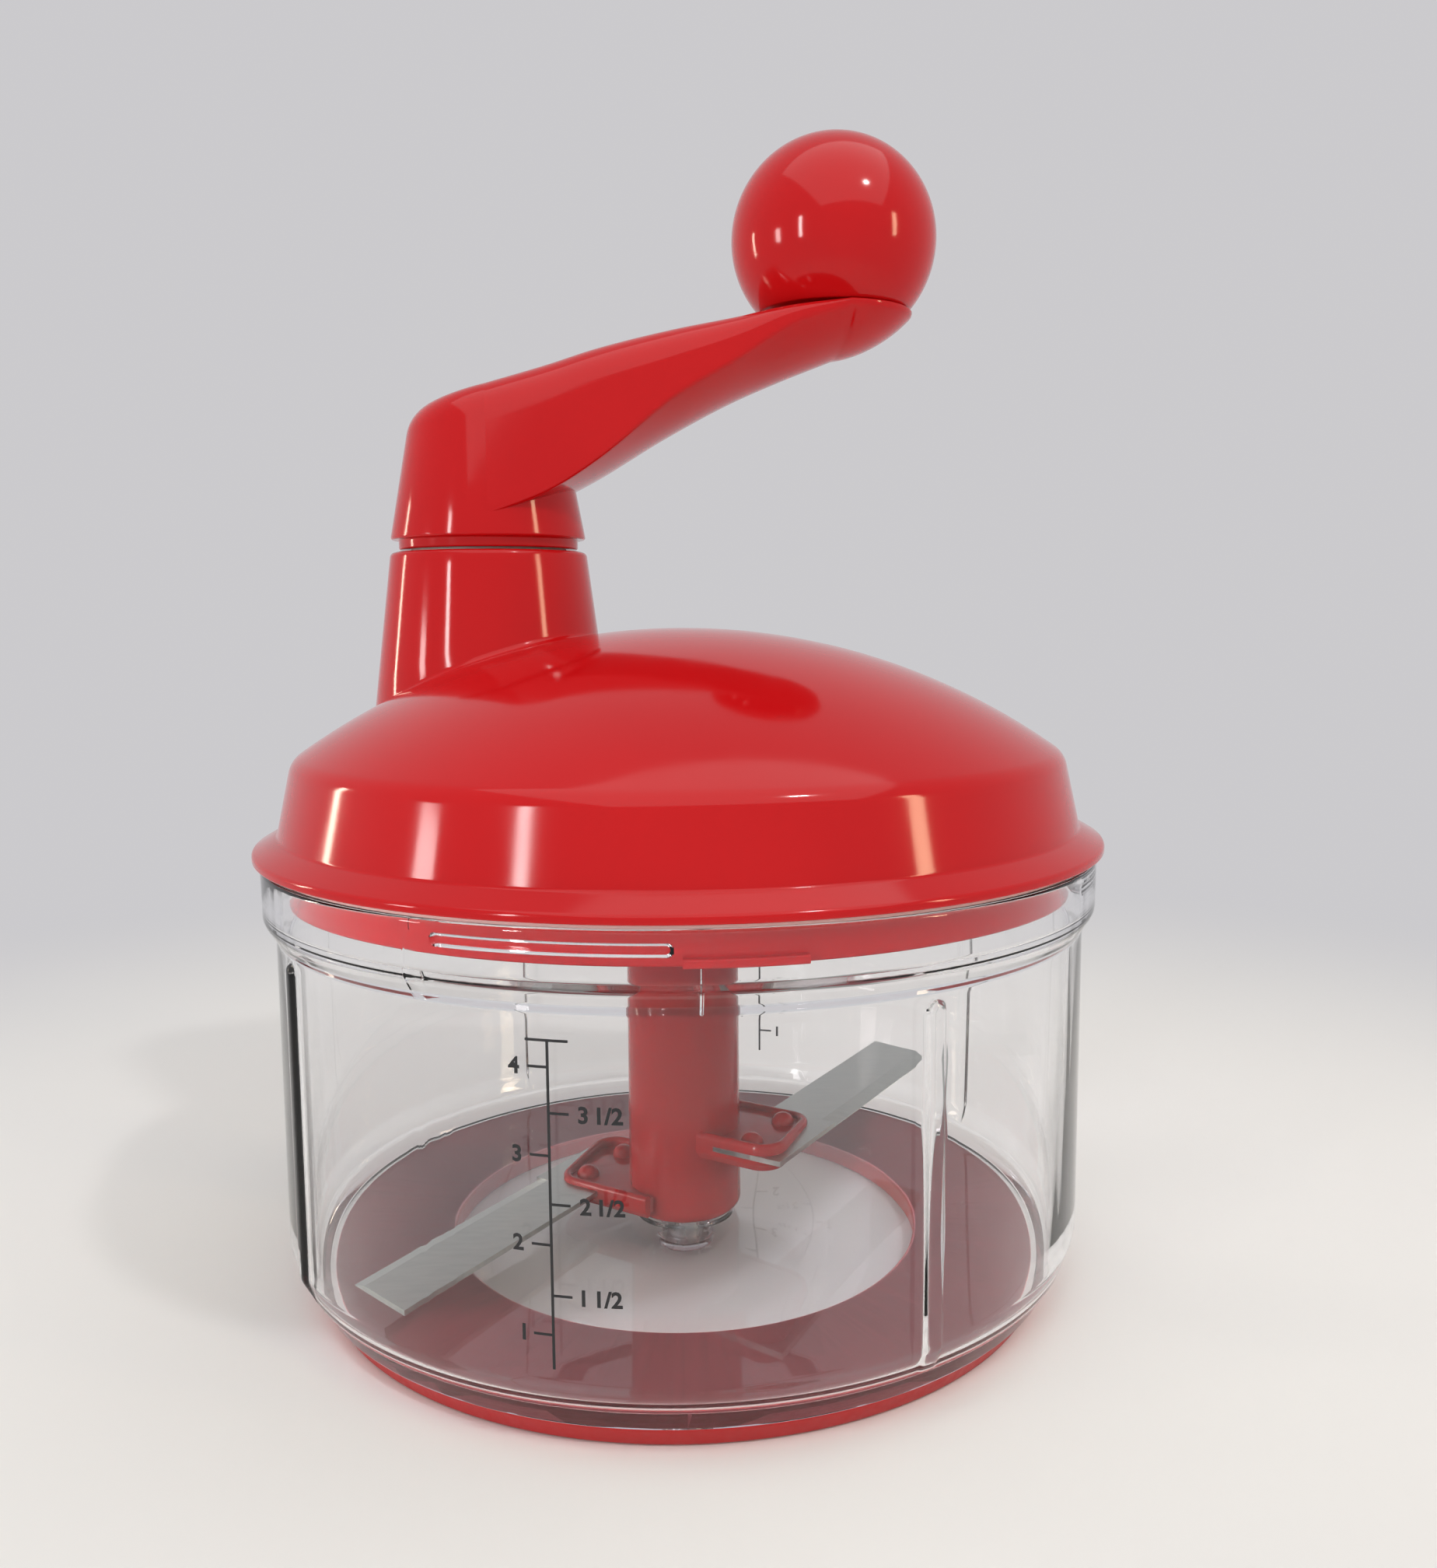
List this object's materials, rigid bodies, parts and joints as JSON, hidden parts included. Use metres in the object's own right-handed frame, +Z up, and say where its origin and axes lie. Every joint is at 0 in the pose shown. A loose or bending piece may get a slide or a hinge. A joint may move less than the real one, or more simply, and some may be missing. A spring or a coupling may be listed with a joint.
{
  "type": "crank food chopper",
  "caption": "Hand-cranked food chopper: clear measuring bowl on a foot ring, blades on an upright shaft, and a domed bayonet cover whose off-centre crank turns them through gears.",
  "frame": {"origin": "on the table, on the axis of the bowl", "axes": "+Z up along the bowl's axis; the picture looks along +Y, from slightly above, with +X to its right"},
  "size_m": [0.16, 0.16, 0.2256],
  "materials": {
    "bowl": "clear polished plastic",
    "red": "glossy bright red plastic",
    "base_ring": "satin red rubber",
    "seal": "translucent soft ring",
    "blade": "satin stainless sheet",
    "steel": "turned steel",
    "bearing": "natural plastic",
    "inner": "white plastic"
  },
  "bodies": {
    "base": {"bowl": "bowl", "base_ring": "base_ring", "pivot_pin": "steel"},
    "blades": {"blade_shaft": "red", "drive_head": "red", "pivot_bush": "bearing", "upper_blade": "blade", "lower_blade": "blade"},
    "seal": {"cover_seal": "seal"},
    "cover": {"cover_shell": "red", "gear_plate": "inner", "plate_screws": "steel", "spindle_bush": "bearing", "output_bush": "bearing", "idler_axle": "steel"},
    "crank": {"crank_arm": "red", "drive_gear": "inner", "crank_screw": "steel", "crank_washer": "bearing", "knob_axle": "steel"},
    "knob": {"knob": "red", "knob_sleeve": "bearing"},
    "idler": {"idler_gear": "inner"},
    "output": {"output_gear": "inner"}
  },
  "joints": [
    {"name": "cover_lift", "type": "slide", "parent": "base", "child": "seal", "axis": [0, 0, 1], "range_m": [0, 0.09]},
    {"name": "cover_twist", "type": "hinge", "parent": "seal", "child": "cover", "pos_m": [0, 0, 0.0841], "axis": [0, 0, 1], "range_deg": [-14, 0]},
    {"name": "crank_turn", "type": "hinge", "parent": "cover", "child": "crank", "pos_m": [-0.03897, 0.0225, 0.1401], "axis": [0, 0, 1], "continuous": true},
    {"name": "knob_spin", "type": "hinge", "parent": "crank", "child": "knob", "pos_m": [0.03309, 0.03135, 0.2], "axis": [0, 0, 1], "continuous": true},
    {"name": "idler_spin", "type": "hinge", "parent": "cover", "child": "idler", "pos_m": [-0.02563, -0.0085, 0.095], "axis": [0, 0, 1], "continuous": true},
    {"name": "output_spin", "type": "hinge", "parent": "cover", "child": "output", "pos_m": [0, 0, 0.095], "axis": [0, 0, 1], "continuous": true},
    {"name": "blade_spin", "type": "hinge", "parent": "base", "child": "blades", "pos_m": [0, 0, 0.02], "axis": [0, 0, 1], "continuous": true}
  ],
  "couplings": [
    {"joint": "idler_spin", "follows": "crank_turn", "ratio": -2},
    {"joint": "output_spin", "follows": "crank_turn", "ratio": 4},
    {"joint": "blade_spin", "follows": "crank_turn", "ratio": 4}
  ]
}
